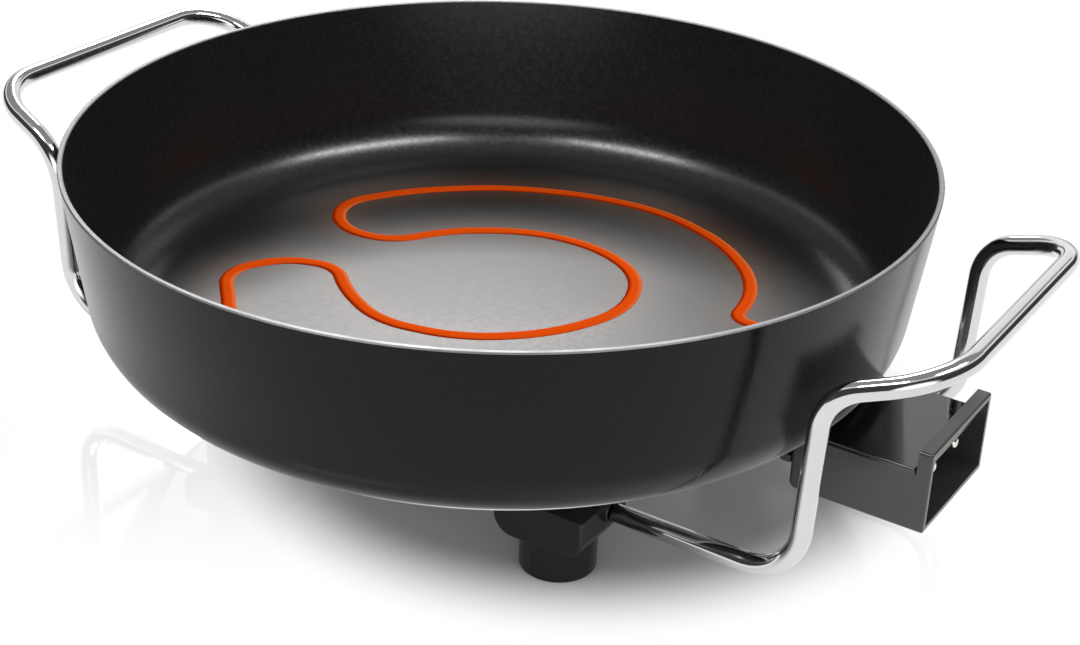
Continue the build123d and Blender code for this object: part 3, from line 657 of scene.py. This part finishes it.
# --- floor ---
FLOOR_SIZE = 12.0
FLOOR_TINTS = ((0.74, 0.745, 0.735, 1.0), (0.76, 0.765, 0.755, 1.0))
FLOOR_CLOUD = 1.5
FLOOR_ROUGHNESS = 0.16
SHADE_CENTRE = (0.025, 0.025, 0.0)  # of the shadow that the camera sees
SHADE_RADIUS = 0.117  # within it the camera sees the whole shadow
CLEAR_RADIUS = 0.168  # beyond it the floor is white to the camera, with faint reflections
MIRRORED_CENTRE = (-0.030, -0.030, 0.0)  # of the shaded floor that reflections show
MIRRORED_RADII = (0.150, 0.225)  # between these it turns white to reflections
FLOOR_GLOSS = 0.20  # share of the faint reflections at CLEAR_RADIUS
GLOSS_ROUGHNESS = 0.06
GLOSS_RADIUS = 0.330  # where they have faded away
GLOSS_FRONT = (-0.130, -0.030)  # along VIEW_WAY, they fade in between these; nearer the camera there are none


def floor_material():
    """Pale glossy floor that keeps the shadow near the object and turns white further out."""
    material, n = new_material("pale_floor")
    from_camera, mirrored = n.ray_kinds()
    place = n.place()
    distance = n.measure("DISTANCE", place, SHADE_CENTRE)
    seen_far = n.math("MULTIPLY", from_camera, n.ramp(distance, SHADE_RADIUS, CLEAR_RADIUS))
    mirrored_distance = n.measure("DISTANCE", place, MIRRORED_CENTRE)
    mirrored_far = n.math("MULTIPLY", mirrored, n.ramp(mirrored_distance, *MIRRORED_RADII))
    shine = n.math("MULTIPLY", from_camera, n.ramp(distance, CLEAR_RADIUS, GLOSS_RADIUS, FLOOR_GLOSS, 0.0))
    shine = n.math("MULTIPLY", shine, n.ramp(n.measure("DOT_PRODUCT", place, VIEW_WAY), *GLOSS_FRONT))
    white = n.add("ShaderNodeEmission", {"Color": grey(1.0), "Strength": 1.0})
    mirror = n.add("ShaderNodeBsdfGlossy", {"Color": grey(1.0), "Roughness": GLOSS_ROUGHNESS})
    clear = n.add("ShaderNodeMixShader", {0: shine, 1: white, 2: mirror})
    tint = n.mix(n.ramp(n.noise(FLOOR_CLOUD), *NOISE_SPREAD), *FLOOR_TINTS)
    pale = n.add("ShaderNodeBsdfPrincipled", {"Base Color": tint, "Roughness": FLOOR_ROUGHNESS, "IOR": 1.45})
    far = n.math("MAXIMUM", seen_far, mirrored_far)
    n.show(n.add("ShaderNodeMixShader", {0: far, 1: pale, 2: clear}))
    return material


def floor_piece():
    """The floor's square."""
    half = FLOOR_SIZE / 2
    corners = [(-half, -half, 0), (half, -half, 0), (half, half, 0), (-half, half, 0)]
    return mesh_piece("floor", corners, [(0, 1, 2, 3)], [floor_material()])


floor = floor_piece()

# --- world, as it lights the object and as reflections show it ---
EVEN_LEVEL = 0.55  # of the light from all sides
ROOM_LEVEL = 0.05  # of the dim room around the lamps and the backdrop, as reflections show it
BACKDROP_HEADING = math.radians(114)
BACKDROP_WAY = (math.cos(BACKDROP_HEADING), math.sin(BACKDROP_HEADING), 0.0)
BACKDROP_SIDES = (0.78, 0.92)  # cosines of the angle from its middle between which it fades in
BACKDROP_FOOT = (0.03, 0.09)  # heights of the direction between which it fades in
BACKDROP_TOP = (0.62, 0.72)  # and out
RING_HEADING = math.radians(122)
RING_LEAN = 0.43  # level part of the ring's axis
RING_RISE = 0.903  # and its upright part
RING_AXIS = Vector((math.cos(RING_HEADING) * RING_LEAN, math.sin(RING_HEADING) * RING_LEAN, RING_RISE))
RING_COSINE = 0.595  # of the angle between the ring of soft light overhead and its axis
RING_EDGES = (0.02, 0.09)  # differences from that cosine between which it fades out
RING_LEVEL = 1.1
CANOPY_LEVEL = 0.30  # inside the ring
CANOPY_FADE = 0.08  # of cosine, from the ring inwards
FRONT_GLOW = 1.9  # low behind the camera
FRONT_EDGES = (0.80, 0.95)  # cosines of the angle from its middle between which it fades in


def build_world():
    """White to the camera; a pale backdrop in a dim room in reflections; even light otherwise."""
    world = bpy.data.worlds.new("studio")
    bpy.context.scene.world = world
    world.use_nodes = True
    n = Nodes(world.node_tree)
    from_camera, mirrored = n.ray_kinds()
    way = n.add("ShaderNodeTexCoord").outputs["Generated"]
    height = n.along(2, way)
    level_way = n.add("ShaderNodeVectorMath", {0: way, 1: (1.0, 1.0, 0.0)}, operation="MULTIPLY")
    level_way = n.add("ShaderNodeVectorMath", {0: level_way}, operation="NORMALIZE")
    across = n.ramp(n.measure("DOT_PRODUCT", level_way, BACKDROP_WAY), *BACKDROP_SIDES)
    upright = n.math("MULTIPLY", n.ramp(height, *BACKDROP_FOOT), n.ramp(height, *BACKDROP_TOP, 1.0, 0.0))
    backdrop = n.math("MULTIPLY", across, upright)
    overhead = n.measure("DOT_PRODUCT", way, RING_AXIS)
    off_ring = n.math("ABSOLUTE", n.math("SUBTRACT", overhead, RING_COSINE))
    ring = n.ramp(off_ring, *RING_EDGES, RING_LEVEL, 0.0)
    canopy = n.ramp(overhead, RING_COSINE, RING_COSINE + CANOPY_FADE, ROOM_LEVEL, CANOPY_LEVEL)
    front_glow = n.ramp(n.measure("DOT_PRODUCT", way, -Vector(VIEW_WAY)), *FRONT_EDGES, 0.0, FRONT_GLOW)
    reflected = n.math("MAXIMUM", n.math("MAXIMUM", ring, canopy), n.math("MAXIMUM", front_glow, backdrop))
    strength = n.blend(from_camera, n.blend(mirrored, EVEN_LEVEL, reflected), 1.0)
    background = n.add("ShaderNodeBackground", {"Color": grey(1.0), "Strength": strength})
    n.show(background, "ShaderNodeOutputWorld")


build_world()

# --- lamps ---
LAMP_TARGET = Vector((0, 0, 0.06))
CENTRE_HEIGHT = 0.1  # of the point in the pan from which the lamps' places are measured


def from_centre(azimuth, elevation, distance):
    """A point seen from the pan's centre at this azimuth and elevation, in degrees."""
    a = math.radians(azimuth)
    e = math.radians(elevation)
    return Vector((
        distance * math.cos(e) * math.cos(a),
        distance * math.cos(e) * math.sin(a),
        CENTRE_HEIGHT + distance * math.sin(e),
    ))


def softbox(name, at, width, height, radiance, turn=0.0, only_gloss=False):
    """A soft rectangular lamp aimed at the pan; its power follows from its size and its brightness."""
    lamp = bpy.data.lights.new(name, "AREA")
    lamp.shape = "RECTANGLE"
    lamp.size = width
    lamp.size_y = height
    lamp.energy = radiance * math.pi * width * height
    holder = bpy.data.objects.new(name, lamp)
    holder.location = at
    aim = (LAMP_TARGET - at).to_track_quat("-Z", "Y").to_matrix()
    holder.rotation_euler = (aim @ Matrix.Rotation(math.radians(turn), 3, "Z")).to_euler()
    holder.visible_diffuse = not only_gloss
    bpy.context.scene.collection.objects.link(holder)


softbox("back_box", from_centre(127.5, 37.5, 4.0), 1.20, 1.20, radiance=12.6)
softbox("right_box", from_centre(7, 59, 1.4), 0.80, 0.20, radiance=20.0, turn=-26.0, only_gloss=True)
softbox("left_box", from_centre(247, 58, 1.4), 0.66, 0.20, radiance=18.0, turn=20.0, only_gloss=True)


# --- camera ---
def build_camera():
    """The camera at the photograph's place, with its heading, pitch and roll."""
    ahead = Vector((
        math.cos(CAMERA_HEADING) * math.cos(CAMERA_PITCH),
        math.sin(CAMERA_HEADING) * math.cos(CAMERA_PITCH),
        -math.sin(CAMERA_PITCH),
    ))
    right = Vector((math.sin(CAMERA_HEADING), -math.cos(CAMERA_HEADING), 0.0))
    up = right.cross(ahead)
    rolled_right = right * math.cos(CAMERA_ROLL) + up * math.sin(CAMERA_ROLL)
    rolled_up = up * math.cos(CAMERA_ROLL) - right * math.sin(CAMERA_ROLL)
    data = bpy.data.cameras.new("camera")
    data.sensor_width = SENSOR_WIDTH
    data.lens = FOCAL_PIXELS / IMAGE_WIDTH * SENSOR_WIDTH
    camera = bpy.data.objects.new("camera", data)
    matrix = Matrix((rolled_right, rolled_up, -ahead)).transposed().to_4x4()
    matrix.translation = Vector(CAMERA_AT)
    camera.matrix_world = matrix
    bpy.context.scene.collection.objects.link(camera)
    bpy.context.scene.camera = camera


build_camera()
bpy.context.scene.view_settings.view_transform = "Standard"
